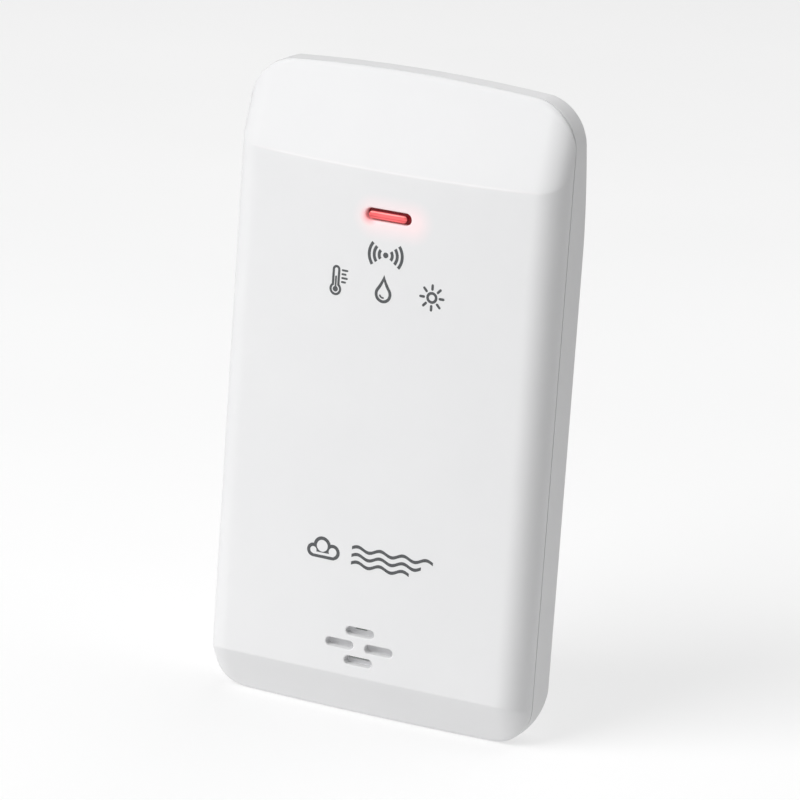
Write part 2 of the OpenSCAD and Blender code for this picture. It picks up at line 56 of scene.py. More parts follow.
REAR_LOW, REAR_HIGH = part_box("rear_cover")
FRONT_LOW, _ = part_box("front_cover")
FACE_Y = FRONT_LOW.y
FLOOR_Z = REAR_LOW.z
HALF_W = REAR_HIGH.x / MM
CASE_H = (REAR_HIGH.z - REAR_LOW.z) / MM


def place(x, d, h):
    """A point in case coordinates, in the shared frame."""
    return Vector((x * MM, FACE_Y + d * MM, FLOOR_Z + h * MM))


def height_of(node):
    """Height of the middle of a CAD node above the bottom edge."""
    low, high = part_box(node)
    return ((low.z + high.z) / 2 - FLOOR_Z) / MM


# --------------------------------------------------------------------------- face

PARTING_D = 7.0
CROWN_R = 380.0
SHOULDER_R = 5.1
# each slope starts at its crease and follows a share of the crown across the width
TOP_CREASE_H = 99.4
TOP_SLOPE = math.tan(math.radians(19.8))
TOP_SHARE = 0.806
TOP_CREASE_RISE = (1 - TOP_SHARE) / TOP_SLOPE
LOW_CREASE_H = 8.4
LOW_SLOPE = math.tan(math.radians(30.5))
LOW_SHARE = 0.841
LOW_CREASE_RISE = (LOW_SHARE - 1) / LOW_SLOPE
CREASE_SOFT = 0.045
# the face lies this much deeper than the CAD, which leaves room for the ink
FACE_SINK = 0.02
# no part of the face lies deeper than this, so that a rim is left in front of the parting line
RIM_LIMIT, RIM_SOFT = 6.62, 0.06
# edge rounding at the top and bottom, how much less it is at the sides, and where it changes
LIP_R, LIP_LESS, LIP_FADE = 0.72, 0.5, (26, 30.5)
TOP_CORNER_R = 9.0
LOW_CORNER_R = 7.0
TOP_CORNER_X = HALF_W - TOP_CORNER_R
LOW_CORNER_X = HALF_W - LOW_CORNER_R
TOP_BOW = 1.5
BOW_R = (HALF_W ** 2 + TOP_BOW ** 2) / (2 * TOP_BOW)
WALL = 1.6
GROOVE = 0.3

WINDOW_H = height_of("light_pipe")
WINDOW_LEN, WINDOW_W = 8.7, 2.2
# the bar of the light guide in the window, how far off its middle, and where its light ends and the
# painted shade of the deeper part begins
BAR_LEN, BAR_W, BAR_SHIFT = 7.2, 1.3, (-0.34, -0.18)
BAR_LIT_D = (0.55, 0.85)
VENT_H = height_of("humidity_sensor")
VENT_LEN, VENT_W = 5.4, 1.55
VENT_DX, VENT_DH = 3.82, 2.7
# middle, length, width and edge rounding of the window and of the air slots
WINDOW_EDGE_R, VENT_EDGE_R = 0.28, 0.22
HOLES = [(0, WINDOW_H, WINDOW_LEN, WINDOW_W, WINDOW_EDGE_R)] + [
    (dx, VENT_H + dh, VENT_LEN, VENT_W, VENT_EDGE_R)
    for dx, dh in ((-VENT_DX, 0), (VENT_DX, 0), (0, VENT_DH), (0, -VENT_DH))]

SHOULDER_X = HALF_W - SHOULDER_R
SHOULDER_D = CROWN_R - math.sqrt((CROWN_R - SHOULDER_R) ** 2 - SHOULDER_X ** 2)
TANGENT_X = SHOULDER_X * CROWN_R / (CROWN_R - SHOULDER_R)


def section(x):
    """Depth of the level part of the face: a crown with round shoulders."""
    x = min(abs(x), HALF_W)
    if x <= TANGENT_X:
        return CROWN_R - math.sqrt(CROWN_R ** 2 - x ** 2)
    return SHOULDER_D - math.sqrt(max(SHOULDER_R ** 2 - (x - SHOULDER_X) ** 2, 0))


def soft_max(a, b, soft):
    """The larger of two values, with a smooth change from one to the other."""
    return (a + b + math.sqrt((a - b) ** 2 + 4 * soft * soft)) / 2


def face_depth(x, h):
    """Depth of the face with both creases, before any edge is rounded."""
    s = section(x) + FACE_SINK
    top = TOP_SHARE * s + (h - TOP_CREASE_H) * TOP_SLOPE
    low = LOW_SHARE * s + (LOW_CREASE_H - h) * LOW_SLOPE
    d = soft_max(s, soft_max(top, low, CREASE_SOFT), CREASE_SOFT)
    return -soft_max(-d, -RIM_LIMIT, RIM_SOFT)


def smooth_step(low, high, value):
    """0 below low, 1 above high, and an S-shaped rise between them."""
    t = min(max((value - low) / (high - low), 0), 1)
    return t * t * (3 - 2 * t)


def round_off(radius, inset):
    """How far an edge rounded with radius has dropped at a distance inside it."""
    if inset >= radius:
        return 0.0
    return radius - math.sqrt(radius ** 2 - (radius - inset) ** 2)


def lip_drop(x, inset):
    """Round lip along the top and bottom edges that fades out along the sides."""
    return round_off(LIP_R - LIP_LESS * smooth_step(*LIP_FADE, abs(x)), inset)


# --------------------------------------------------------------------------- mesh tools

# steps between points: close together near the creases and wider elsewhere
FINE_STEP, WIDE_STEP = 0.16, 1.25
FINE_BELOW, FINE_ABOVE = 9.4, 98.2
LOW_EDGE_STEP, LOW_TURN_STEPS, TOP_TURN_STEPS, BOW_STEPS = 1.4, 16, 22, 34
SLOT_TURN_STEPS, SLOT_PIECES = 12, 8


def spread(low, high, step):
    """Evenly spaced values from low to high, about a step apart."""
    count = max(1, round((high - low) / step))
    return [low + (high - low) * i / count for i in range(count + 1)]


def side_heights(low, high):
    """Places along the straight sides, closer together where the creases cross them."""
    marks = spread(low, FINE_BELOW, FINE_STEP) + spread(FINE_BELOW, FINE_ABOVE, WIDE_STEP)[1:]
    return marks + spread(FINE_ABOVE, high, FINE_STEP)[1:]


def arc(cx, cy, r, start, end, count):
    """Points of an arc, with its angles in degrees."""
    turn = [math.radians(start + (end - start) * i / count) for i in range(count + 1)]
    return [(cx + r * math.cos(a), cy + r * math.sin(a)) for a in turn]


def case_outline(inset):
    """Front-view outline of the case moved inwards, always with the same number of points."""
    low_r, top_r = LOW_CORNER_R - inset, TOP_CORNER_R - inset
    bow_h = CASE_H - BOW_R
    top_h = bow_h + math.sqrt((BOW_R - TOP_CORNER_R) ** 2 - TOP_CORNER_X ** 2)
    lean = math.degrees(math.atan2(TOP_CORNER_X, top_h - bow_h))
    w = HALF_W - inset
    sides = side_heights(LOW_CORNER_R, top_h)
    loop = [(x, inset) for x in spread(-LOW_CORNER_X, LOW_CORNER_X, LOW_EDGE_STEP)]
    loop += arc(LOW_CORNER_X, LOW_CORNER_R, low_r, -90, 0, LOW_TURN_STEPS)[1:]
    loop += [(w, h) for h in sides][1:]
    loop += arc(TOP_CORNER_X, top_h, top_r, 0, 90 - lean, TOP_TURN_STEPS)[1:]
    loop += arc(0, bow_h, BOW_R - inset, 90 - lean, 90 + lean, BOW_STEPS)[1:]
    loop += arc(-TOP_CORNER_X, top_h, top_r, 90 + lean, 180, TOP_TURN_STEPS)[1:]
    loop += [(-w, h) for h in reversed(sides)][1:]
    loop += arc(-LOW_CORNER_X, LOW_CORNER_R, low_r, 180, 270, LOW_TURN_STEPS)[1:-1]
    return loop


def stadium(cx, cy, length, width, grow=0.0):
    """Loop of a slot with round ends, moved outwards by grow."""
    half, r = (length - width) / 2, width / 2 + grow
    right = arc(cx + half, cy, r, -90, 90, SLOT_TURN_STEPS)
    left = arc(cx - half, cy, r, 90, 270, SLOT_TURN_STEPS)
    straight = [cx - half + 2 * half * i / SLOT_PIECES for i in range(1, SLOT_PIECES)]
    upper = [(x, cy + r) for x in reversed(straight)]
    lower = [(x, cy - r) for x in straight]
    return right + upper + left + lower


def stadium_distance(x, y, hole):
    """How far a point lies outside a hole, negative inside it."""
    cx, cy, length, width = hole[:4]
    half = (length - width) / 2
    dx = max(abs(x - cx) - half, 0)
    return math.hypot(dx, y - cy) - width / 2


def quads(rings):
    """Faces between neighbouring closed rings of equal length."""
    return [(a[i], a[(i + 1) % len(a)], b[(i + 1) % len(a)], b[i])
            for a, b in zip(rings, rings[1:]) for i in range(len(a))]


def triangulate(borders, spots, gap):
    """Flat mesh between closed borders and through free points, as its points and faces."""
    points, edges = [], []
    for border in borders:
        start = len(points)
        points += border
        edges += [(start + i, start + (i + 1) % len(border)) for i in range(len(border))]
    points += spots
    made = delaunay_2d_cdt([Vector(p) for p in points], edges, [], 0, gap)
    return made[0], made[2]


def middle_of(points, face):
    return sum((points[i] for i in face), Vector((0, 0))) / len(face)


SAME_POINT = 1e-7
SHARP_ANGLE = 32


class Builder:
    """Collects points and faces, and makes one closed piece of them."""

    def __init__(self):
        self.points, self.faces = [], []

    def add(self, point):
        self.points.append(tuple(point))
        return len(self.points) - 1

    def loop(self, points):
        return [self.add(p) for p in points]

    def tube(self, rings):
        self.faces += quads(rings)

    def loft(self, loops):
        """Closed tube through a list of equal loops, with both ends capped."""
        rings = [self.loop(points) for points in loops]
        self.tube(rings)
        self.faces += [tuple(rings[0]), tuple(rings[-1])]

    def drop_unused(self):
        """Leaves out the points that no face uses."""
        used = sorted({i for face in self.faces for i in face})
        renumber = {old: new for new, old in enumerate(used)}
        self.points = [self.points[i] for i in used]
        self.faces = [tuple(renumber[i] for i in face) for face in self.faces]

    def piece(self, name, material):
        """Makes the mesh, with a material, and fixes it to the case."""
        mesh = bpy.data.meshes.new(name)
        mesh.from_pydata(self.points, [], self.faces)
        work = bmesh.new()
        work.from_mesh(mesh)
        bmesh.ops.remove_doubles(work, verts=work.verts, dist=SAME_POINT)
        bmesh.ops.recalc_face_normals(work, faces=work.faces)
        for f in work.faces:
            f.smooth = True
        work.to_mesh(mesh)
        work.free()
        mesh.set_sharp_from_angle(angle=math.radians(SHARP_ANGLE))
        obj = bpy.data.objects.new(name, mesh)
        bpy.context.scene.collection.objects.link(obj)
        obj.data.materials.append(material[0])
        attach(obj, "case")
        return obj


# --------------------------------------------------------------------------- materials

class Nodes:
    """Small helper that writes one procedural material."""

    def __init__(self, name):
        self.material = bpy.data.materials.new(name)
        self.material.use_nodes = True
        self.tree = self.material.node_tree
        self.shader = self.tree.nodes["Principled BSDF"]

    def node(self, kind, inputs=(), **settings):
        made = self.tree.nodes.new(kind)
        for key, value in settings.items():
            setattr(made, key, value)
        for key, value in dict(inputs).items():
            if hasattr(value, "links"):
                self.tree.links.new(value, made.inputs[key])
            else:
                made.inputs[key].default_value = value
        return made

    def set(self, **values):
        for key, value in values.items():
            socket = self.shader.inputs[key.replace("_", " ")]
            if hasattr(value, "links"):
                self.tree.links.new(value, socket)
            else:
                socket.default_value = value

    def place(self):
        return self.node("ShaderNodeTexCoord").outputs["Object"]

    def noise(self, scale, detail=2.0, rough=0.5, vector=None):
        return self.node("ShaderNodeTexNoise", {
            "Vector": vector or self.place(), "Scale": scale, "Detail": detail,
            "Roughness": rough}).outputs["Fac"]

    def ramp(self, fac, *stops):
        made = self.node("ShaderNodeValToRGB", {"Fac": fac})
        items = made.color_ramp.elements
        while len(items) < len(stops):
            items.new(0.5)
        for item, (at, colour) in zip(items, stops):
            item.position = at
            item.color = (*colour, 1)
        return made.outputs["Color"]

    def span(self, fac, low, high, from_low=0.0, from_high=1.0):
        return self.node("ShaderNodeMapRange", {
            "Value": fac, "From Min": from_low, "From Max": from_high,
            "To Min": low, "To Max": high}).outputs["Result"]

    def math(self, operation, a, b=0.0):
        return self.node("ShaderNodeMath", {0: a, 1: b}, operation=operation).outputs[0]

    def length(self, a, b):
        squares = self.math("ADD", self.math("MULTIPLY", a, a), self.math("MULTIPLY", b, b))
        return self.math("SQRT", squares)

    def away(self, value, middle=0.0):
        """Distance of a coordinate from a place, on either side of it."""
        return self.math("ABSOLUTE", self.math("SUBTRACT", value, middle))

    def fade(self, distance, near, far):
        """1 nearer than near, 0 further than far."""
        return self.span(distance, 1.0, 0.0, near, far)

    def mix(self, fac, a, b, blend="MIX"):
        made = self.node("ShaderNodeMix", {0: fac, 6: a, 7: b}, data_type="RGBA", blend_type=blend)
        return made.outputs[2]

    def axes(self):
        return tuple(self.node("ShaderNodeSeparateXYZ", {0: self.place()}).outputs)

    def stretched(self, scale):
        """Coordinates scaled along the three axes."""
        return self.node("ShaderNodeMapping", {"Vector": self.place(), "Scale": scale}).outputs[0]

    def bump(self, height, distance, strength):
        inputs = {"Height": height, "Distance": distance, "Strength": strength}
        self.set(Normal=self.node("ShaderNodeBump", inputs).outputs["Normal"])


def rgb(r, g, b):
    """Linear colour of an 8-bit tone."""
    return tuple(((c / 255 + 0.055) / 1.055) ** 2.4 if c > 10 else c / 3295 for c in (r, g, b))


# red light of the window on the plastic round it: a wide halo, and a spill at its left end
HALO_COLOUR, HALO_SHARE = (0.93, 0.66, 0.68, 1), 0.42
HALO_X, HALO_HALF_LEN, HALO_DROP = 0.9, 3.6, 0.4
HALO_NEAR, HALO_FAR, HALO_POWER = 0.9, 4.4, 1.4
SPILL_COLOUR, SPILL_SHARE = (0.84, 0.14, 0.15, 1), 0.62
SPILL_X = -3.7
SPILL_NEAR, SPILL_FAR, SPILL_POWER = 0.6, 1.9, 1.5
GLOW_COLOUR, GLOW_STRENGTH = (1.0, 0.42, 0.44, 1), 0.10
# painted highlight along the top crease, and where it fades out across the width
GLINT_RISE, GLINT_NEAR, GLINT_FAR, GLINT_STRENGTH = 0.1, 0.02, 0.34, 0.07
GLINT_FADE = (21, 28)


def window_glow(m, colour):
    """Red halo of the window, its spill at the left end, and a painted highlight along the top crease.
    """
    x, _, z = m.axes()
    rise = m.math("SUBTRACT", z, (WINDOW_H - HALO_DROP) * MM + FLOOR_Z)
    past = m.math("MAXIMUM", m.math("SUBTRACT", m.away(x, HALO_X * MM), HALO_HALF_LEN * MM), 0.0)
    halo = m.math("POWER", m.fade(m.length(past, rise), HALO_NEAR * MM, HALO_FAR * MM), HALO_POWER)
    left = m.length(m.math("SUBTRACT", x, SPILL_X * MM), rise)
    spill = m.math("POWER", m.fade(left, SPILL_NEAR * MM, SPILL_FAR * MM), SPILL_POWER)
    colour = m.mix(m.math("MULTIPLY", halo, HALO_SHARE), colour, HALO_COLOUR)
    colour = m.mix(m.math("MULTIPLY", spill, SPILL_SHARE), colour, SPILL_COLOUR)
    # painted highlight: a thin white glow that follows the top crease as it bends with the crown
    bend = m.math("MULTIPLY", m.math("MULTIPLY", x, x), TOP_CREASE_RISE / (2 * CROWN_R * MM))
    crease = (TOP_CREASE_H + GLINT_RISE) * MM + FLOOR_Z
    level = m.math("SUBTRACT", m.math("SUBTRACT", z, crease), bend)
    line = m.fade(m.away(level), GLINT_NEAR * MM, GLINT_FAR * MM)
    crease_highlight = m.math("MULTIPLY", line, m.fade(m.away(x), *(end * MM for end in GLINT_FADE)))
    warm = m.math("MULTIPLY", m.math("ADD", halo, spill), GLOW_STRENGTH)
    m.set(Emission_Color=m.mix(crease_highlight, GLOW_COLOUR, (1, 1, 1, 1)),
          Emission_Strength=m.math("ADD", warm, m.math("MULTIPLY", crease_highlight, GLINT_STRENGTH)))
    return colour


def moulded(name, light, dark, rough, grain=5200, height=0.004, glow=False, through=0.0):
    """Moulded plastic: faint clouding, a fine eroded texture and uneven gloss.

    glow adds the light of the window. through is how much it shines with a painted glow, which stands
    in for thin plastic with daylight behind it.
    """
    m = Nodes(name)
    colour = m.ramp(m.noise(38, 4, 0.6), (0.3, dark), (0.7, light))
    if glow:
        colour = window_glow(m, colour)
    # painted glow: the plastic gives off light in its own colour
    if through:
        m.set(Emission_Color=colour, Emission_Strength=through)
    m.set(Base_Color=colour, Roughness=m.span(m.noise(900, 3), rough - 0.04, rough + 0.05),
          Specular_IOR_Level=0.2)
    m.bump(m.noise(grain, 3, 0.6), height * MM * 3, 0.55)
    return m.material


def metal(name, colour, rough, scratch=2600, stretch=(1, 1, 14)):
    """Bare or plated metal with fine scratches and slightly uneven tarnish."""
    m = Nodes(name)
    lines = m.noise(scratch / 6, 4, 0.7, m.stretched(stretch))
    dull = tuple(c * 0.72 for c in colour)
    m.set(Base_Color=m.ramp(m.noise(260, 4), (0.35, dull), (0.65, colour)), Metallic=1.0,
          Roughness=m.span(lines, rough - 0.07, rough + 0.14))
    m.bump(lines, 0.006 * MM, 0.5)
    return m.material


def circuit(name):
    """Green solder mask with copper tracks, pads and pale glass weave under it."""
    m = Nodes(name)
    x, _, z = m.axes()
    cells = m.node("ShaderNodeTexVoronoi", {
        "Vector": m.stretched((1, 0, 1)), "Scale": 420.0, "Randomness": 0.6},
        distance="MANHATTAN", feature="F1")
    tracks = m.node("ShaderNodeTexBrick", {
        "Vector": m.node("ShaderNodeCombineXYZ", {0: x, 1: z}).outputs[0], "Scale": 300.0,
        "Mortar Size": 0.09, "Mortar Smooth": 0.2, "Bias": 0.0, "Brick Width": 2.3,
        "Row Height": 0.55, "Color1": (0, 0, 0, 1), "Color2": (0, 0, 0, 1),
        "Mortar": (1, 1, 1, 1)}, offset=0.37, squash=1.6, squash_frequency=3)
    lines = m.math("MULTIPLY", tracks.outputs["Fac"], m.span(m.noise(95, 1), 0, 1, 0.42, 0.5))
    vias = m.math("LESS_THAN", cells.outputs["Distance"], 0.13)
    weave = m.noise(2600, 2)
    mask = m.ramp(weave, (0.3, (0.004, 0.075, 0.026)), (0.7, (0.008, 0.115, 0.042)))
    over = m.mix(lines, mask, (0.015, 0.20, 0.065, 1))
    m.set(Base_Color=m.mix(vias, over, (0.62, 0.60, 0.55, 1)), Metallic=m.math("MULTIPLY", vias, 0.9),
          Roughness=m.span(weave, 0.27, 0.38), Coat_Weight=0.35, Coat_Roughness=0.2)
    m.bump(m.math("ADD", lines, m.math("MULTIPLY", vias, 0.6)), 0.03 * MM, 0.7)
    return m.material


def chip_resin(name):
    """Black moulding compound of a chip, matt and slightly sandy."""
    m = Nodes(name)
    grain = m.noise(6200, 3, 0.65)
    m.set(Base_Color=m.ramp(grain, (0.3, (0.012, 0.012, 0.013)), (0.75, (0.04, 0.04, 0.042))),
          Roughness=m.span(m.noise(1500), 0.42, 0.62))
    m.bump(grain, 0.012 * MM, 0.6)
    return m.material


def cell_sleeve(name):
    """Plain printed sleeve of a dry cell: two tones, a thin band, and bare steel at the ends."""
    m = Nodes(name)
    _, _, z = m.axes()
    low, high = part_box("battery_left")
    level = m.span(z, 0, 1, low.z, high.z)
    steel = (0.60, 0.60, 0.61)
    tones = m.ramp(level, (0.0, steel), (0.018, (0.018, 0.035, 0.075)), (0.66, (0.76, 0.77, 0.79)),
                   (0.685, (0.55, 0.17, 0.03)), (0.955, (0.62, 0.63, 0.64)))
    tones.node.color_ramp.interpolation = "CONSTANT"
    shade = m.ramp(m.noise(320, 3), (0.3, (0.82, 0.82, 0.82)), (0.7, (1, 1, 1)))
    m.set(Base_Color=m.mix(1.0, tones, shade, "MULTIPLY"), Metallic=0.55,
          Roughness=m.span(m.noise(1400, 3), 0.24, 0.38), Coat_Weight=0.3, Coat_Roughness=0.12)
    m.bump(m.noise(2400, 3), 0.006 * MM, 0.5)
    return m.material


def lit_lens(name):
    """Red light guide: the bar in front is lit by the lamp and has a painted highlight near its upper
    edge; what lies deeper is painted dark red as the shade of the recess.
    """
    m = Nodes(name)
    x, y, z = m.axes()
    front = m.fade(y, FACE_Y + BAR_LIT_D[0] * MM, FACE_Y + BAR_LIT_D[1] * MM)
    rise = m.math("SUBTRACT", z, (WINDOW_H + BAR_SHIFT[1]) * MM + FLOOR_Z)
    # light across the bar, with streaks, and a painted highlight line near its upper edge (the stop at
    # 0.90)
    across = m.ramp(m.span(rise, 0, 1, -BAR_W / 2 * MM, BAR_W / 2 * MM),
                    (0.0, (0.50, 0.05, 0.055)), (0.16, (0.86, 0.19, 0.20)),
                    (0.34, (0.60, 0.09, 0.10)), (0.50, (0.90, 0.20, 0.21)),
                    (0.78, (0.84, 0.16, 0.17)), (0.90, (1.0, 0.42, 0.40)),
                    (1.0, (0.80, 0.15, 0.16)))
    along = m.span(m.away(x), 1.0, 0.80, 1.5 * MM, 4.0 * MM)
    stretched = m.stretched((0.09, 1, 1))
    streak = m.span(m.noise(3400, 3, 0.6, stretched), 0.80, 1.12, 0.32, 0.68)
    # painted shade: deeper than the bar, the guide gets a darker base colour and only a dim glow
    m.set(Base_Color=m.mix(front, (0.10, 0.004, 0.006, 1), (0.34, 0.03, 0.03, 1)),
          Roughness=m.span(m.noise(1600, 2), 0.20, 0.30), IOR=1.4,
          Emission_Color=m.mix(front, (0.125, 0.005, 0.008, 1), across),
          Emission_Strength=m.math("MULTIPLY", m.math("MULTIPLY", along, streak), 0.80))
    m.bump(m.noise(2600, 2, 0.5, stretched), 0.006 * MM, 0.6)
    return m.material


def printed_ink(name):
    """Dark grey pad-printed ink, a little uneven."""
    m = Nodes(name)
    grain = m.noise(3800, 3)
    m.set(Base_Color=m.ramp(grain, (0.3, rgb(66, 68, 70)), (0.7, rgb(84, 86, 88))),
          Roughness=m.span(m.noise(1800), 0.48, 0.62))
    m.bump(grain, 0.004 * MM, 0.5)
    return m.material


WHITE_HIGH, WHITE_LOW, WHITE_ROUGH = (0.705, 0.705, 0.710), (0.688, 0.689, 0.695), 0.47
CASE_WHITE = (moulded("case_white", WHITE_HIGH, WHITE_LOW, WHITE_ROUGH), "case_plastic")
FACE_WHITE = (moulded("face_white", WHITE_HIGH, WHITE_LOW, WHITE_ROUGH, glow=True), "case_plastic")
INK = (printed_ink("printed_ink"), "control_black")
LENS = (lit_lens("lit_lens"), "red_lens")
SLOTS = {
    "case_plastic": CASE_WHITE[0],
    "seal_rubber": moulded("seal_rubber", (0.10, 0.10, 0.105), (0.07, 0.07, 0.072),
                           0.72, 3000, 0.01),
    "red_lens": LENS[0],
    "led_body": moulded("led_body", (0.78, 0.66, 0.62), (0.70, 0.58, 0.54), 0.3, 3000, 0.003),
    "board": circuit("circuit_board"),
    "chip_black": chip_resin("chip_resin"),
    "bright_metal": metal("tin_plate", (0.70, 0.70, 0.71), 0.27),
    "ceramic": moulded("ceramic_tan", (0.48, 0.33, 0.20), (0.38, 0.25, 0.15),
                       0.45, 4200, 0.006),
    "copper_wire": metal("copper_wire", (0.80, 0.38, 0.20), 0.28),
    "sensor_white": moulded("sensor_white", (0.80, 0.80, 0.78), (0.72, 0.72, 0.70),
                            0.55, 3800, 0.008),
    # the shroud shines with a painted glow, standing in for daylight through its thin wall
    "shroud_plastic": moulded("shroud_pale", (0.80, 0.80, 0.81), (0.76, 0.76, 0.77),
                              0.5, through=0.16),
    "wire_jacket": moulded("wire_jacket", (0.68, 0.66, 0.62), (0.60, 0.58, 0.55),
                           0.4, 3000, 0.004),
    "control_black": moulded("control_black", (0.032, 0.032, 0.034), (0.02, 0.02, 0.021),
                             0.42, 4200, 0.006),
    "cell_sleeve": cell_sleeve("cell_sleeve"),
    "spring_steel": metal("spring_steel", (0.66, 0.66, 0.68), 0.22),
    "screw_steel": metal("screw_steel", (0.56, 0.57, 0.58), 0.30, 2000, (1, 1, 1)),
}


# --------------------------------------------------------------------------- front cover

# rings along the outline and steps round each hole, closest together where the edge is rounded
RING_INSETS = [0, 0.02, 0.063, 0.13, 0.25, 0.4, 0.56, 0.76, 0.98, 1.22, 1.49, 1.78, 2.1,
               2.45, 2.8, 3.15, 3.5, 3.9, 4.3, 4.7, 5.1, 5.6]
HOLE_STEPS = [0, 0.015, 0.05, 0.11, 0.19, 0.28, 0.42]
CREASE_ROWS = (0.07, 0.22, 0.42, 0.75, 1.3)
CREASE_END_X, CREASE_STEP, CREASE_BAND = 24.4, 1.1, 1.5
# free points of the face: their distance from the last ring and from the last hole step
RING_GAP, HOLE_GAP = 0.5, 0.3
ROW_ENDS_X, ROW_SHIFT = (-24.2, 23.6), 0.6
# above this height, they also keep clear of the round corners and the bowed edge
CORNER_CHECK_H = 105


def crease_points(crease_h, rise):
    """Rows of points that follow a crease closely."""
    found = []
    for x in spread(-CREASE_END_X, CREASE_END_X, CREASE_STEP):
        middle = crease_h + rise * section(x)
        for away in CREASE_ROWS:
            found += [(x, middle - away), (x, middle + away)]
    return found


def is_free(x, h, inside):
    """Whether a point of the face is clear of the holes and, near the top, of the outline."""
    if any(stadium_distance(x, h, hole) <= HOLE_STEPS[-1] + HOLE_GAP for hole in HOLES):
        return False
    if h <= CORNER_CHECK_H:
        return True
    past_corner = math.hypot(abs(x) - TOP_CORNER_X, h - CORNER_CHECK_H) > TOP_CORNER_R - inside
    past_bow = h > CASE_H - inside - x * x / (2 * BOW_R)
    return not past_bow and not (abs(x) > TOP_CORNER_X and past_corner)


def face_spots():
    """Free points inside the rings: close rows along the creases, staggered rows elsewhere."""
    inside = RING_INSETS[-1] + RING_GAP
    creases = crease_points(TOP_CREASE_H, TOP_CREASE_RISE)
    creases += crease_points(LOW_CREASE_H, LOW_CREASE_RISE)
    spots = [(x, h) for x, h in creases if inside < h < CASE_H - inside]
    for row, h in enumerate(spread(inside, CASE_H - inside - 0.9, WIDE_STEP)):
        if min(abs(h - TOP_CREASE_H - 0.3), abs(h - LOW_CREASE_H)) > CREASE_BAND:
            shift = ROW_SHIFT if row % 2 else 0.0
            spots += [(x + shift, h) for x in spread(*ROW_ENDS_X, WIDE_STEP)]
    return [(x, h) for x, h in spots if is_free(x, h, inside)]


def front_shell():
    """The face with its window, air slots and lip, and the wall behind it."""
    b = Builder()
    loops = [case_outline(inset) for inset in RING_INSETS]
    hole_loops = [[stadium(*hole[:4], grow) for grow in HOLE_STEPS] for hole in HOLES]

    # points of the face in the front view, each with how far its edge has dropped
    flat, drops, index = [], [], {}

    def corner(point, drop):
        key = (round(point[0], 4), round(point[1], 4))
        if key not in index:
            index[key] = len(flat)
            flat.append(point)
            drops.append(drop)
        return index[key]

    rings = [[corner(p, lip_drop(p[0], inset)) for p in loop]
             for loop, inset in zip(loops, RING_INSETS)]
    cells = quads(rings)
    hole_rings = []
    for hole, grown in zip(HOLES, hole_loops):
        ring = [[corner(p, round_off(hole[4], grow)) for p in loop]
                for loop, grow in zip(grown, HOLE_STEPS)]
        hole_rings.append(ring)
        cells += quads(ring)

    borders = [loops[-1]] + [grown[-1] for grown in hole_loops]
    points, faces = triangulate(borders, face_spots(), 1e-6)
    for face in faces:
        middle = middle_of(points, face)
        in_hole = any(stadium_distance(*middle, hole) < HOLE_STEPS[-1] - 0.002 for hole in HOLES)
        if not in_hole:
            cells.append(tuple(corner(tuple(points[i]), 0.0) for i in face))

    # the inner skin follows the face a wall deeper, and ends inside the rim
    outer = [b.add(place(p[0], face_depth(*p) + drop, p[1])) for p, drop in zip(flat, drops)]
    inner = [b.add(place(p[0], min(face_depth(*p) + WALL, PARTING_D), p[1])) for p in flat]
    first = next(i for i, inset in enumerate(RING_INSETS) if inset > GROOVE)
    skipped = {i for ring in rings[:first] for i in ring}
    for cell in cells:
        b.faces.append(tuple(outer[i] for i in cell))
        if not skipped & set(cell):
            b.faces.append(tuple(inner[i] for i in reversed(cell)))

    # side wall, groove at the parting line and flat rim
    wall_loop = b.loop([place(x, PARTING_D - GROOVE, h) for x, h in loops[0]])
    rim_loop = b.loop([place(x, PARTING_D, h) for x, h in case_outline(GROOVE)])
    b.tube([[outer[i] for i in rings[0]], wall_loop, rim_loop, [inner[i] for i in rings[first]]])
    for ring in hole_rings:
        b.tube([[outer[i] for i in ring[0]], [inner[i] for i in ring[0]]])
    b.drop_unused()
    shell = b.piece("front_shell", FACE_WHITE)
    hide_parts("front_cover")


front_shell()


POST_SIDES, POST_CHAMFER = 28, 0.15
SCREW_POST_X, SCREW_POST_H, SCREW_POST_R, SCREW_POST_END_D = 24.5, (15.5, 101.0), 2.8, 6.9
SCREW_BORE_R, SCREW_BORE_D = 1.12, 3.8
BOARD_POST_X, BOARD_POST_H, BOARD_POST_R, BOARD_POST_END_D = 17.8, 102.8, 2.2, 5.2
SMALL_BORE_R, BOARD_BORE_D, SENSOR_BORE_D = 0.82, 3.1, 2.9
BOARD_PIN_H, BOARD_PIN_R, BOARD_PIN_START_D = 82.8, 1.6, 1.4
BOARD_PIN_BORE_R, BOARD_PIN_BORE_D = 0.3, 5.0
SENSOR_POST_X, SENSOR_POST_R, SENSOR_POST_START_D, SENSOR_POST_END_D = 10.8, 1.9, 1.2, 5.0
RIB_X, RIB_H, RIB_HALF_W, RIB_D = 6.4, 2.8, 0.4, (1.4, 3.4)
RIB_ALONG, RIB_UP, RIB_HALF_H = 6.4, 3, 0.3
# the lip that reaches into the rear cover: its outer and inner outline, their lower limits
SKIRT_INSETS, SKIRT_LOW, SKIRT_END_D = (1.7, 2.7), (6.0, 7.0), 8.75


def tube_post(b, x, h, r, near_d, far_d, bore_r, bore_d):
    """Screw post on the inside of the face with a blind hole in its free end."""
    rings = [(r, near_d), (r, far_d - POST_CHAMFER), (r - POST_CHAMFER, far_d),
             (bore_r, far_d), (bore_r, bore_d)]
    b.loft([[place(px, d, ph) for px, ph in arc(x, h, radius, 0, 360, POST_SIDES)[:-1]]
            for radius, d in rings])


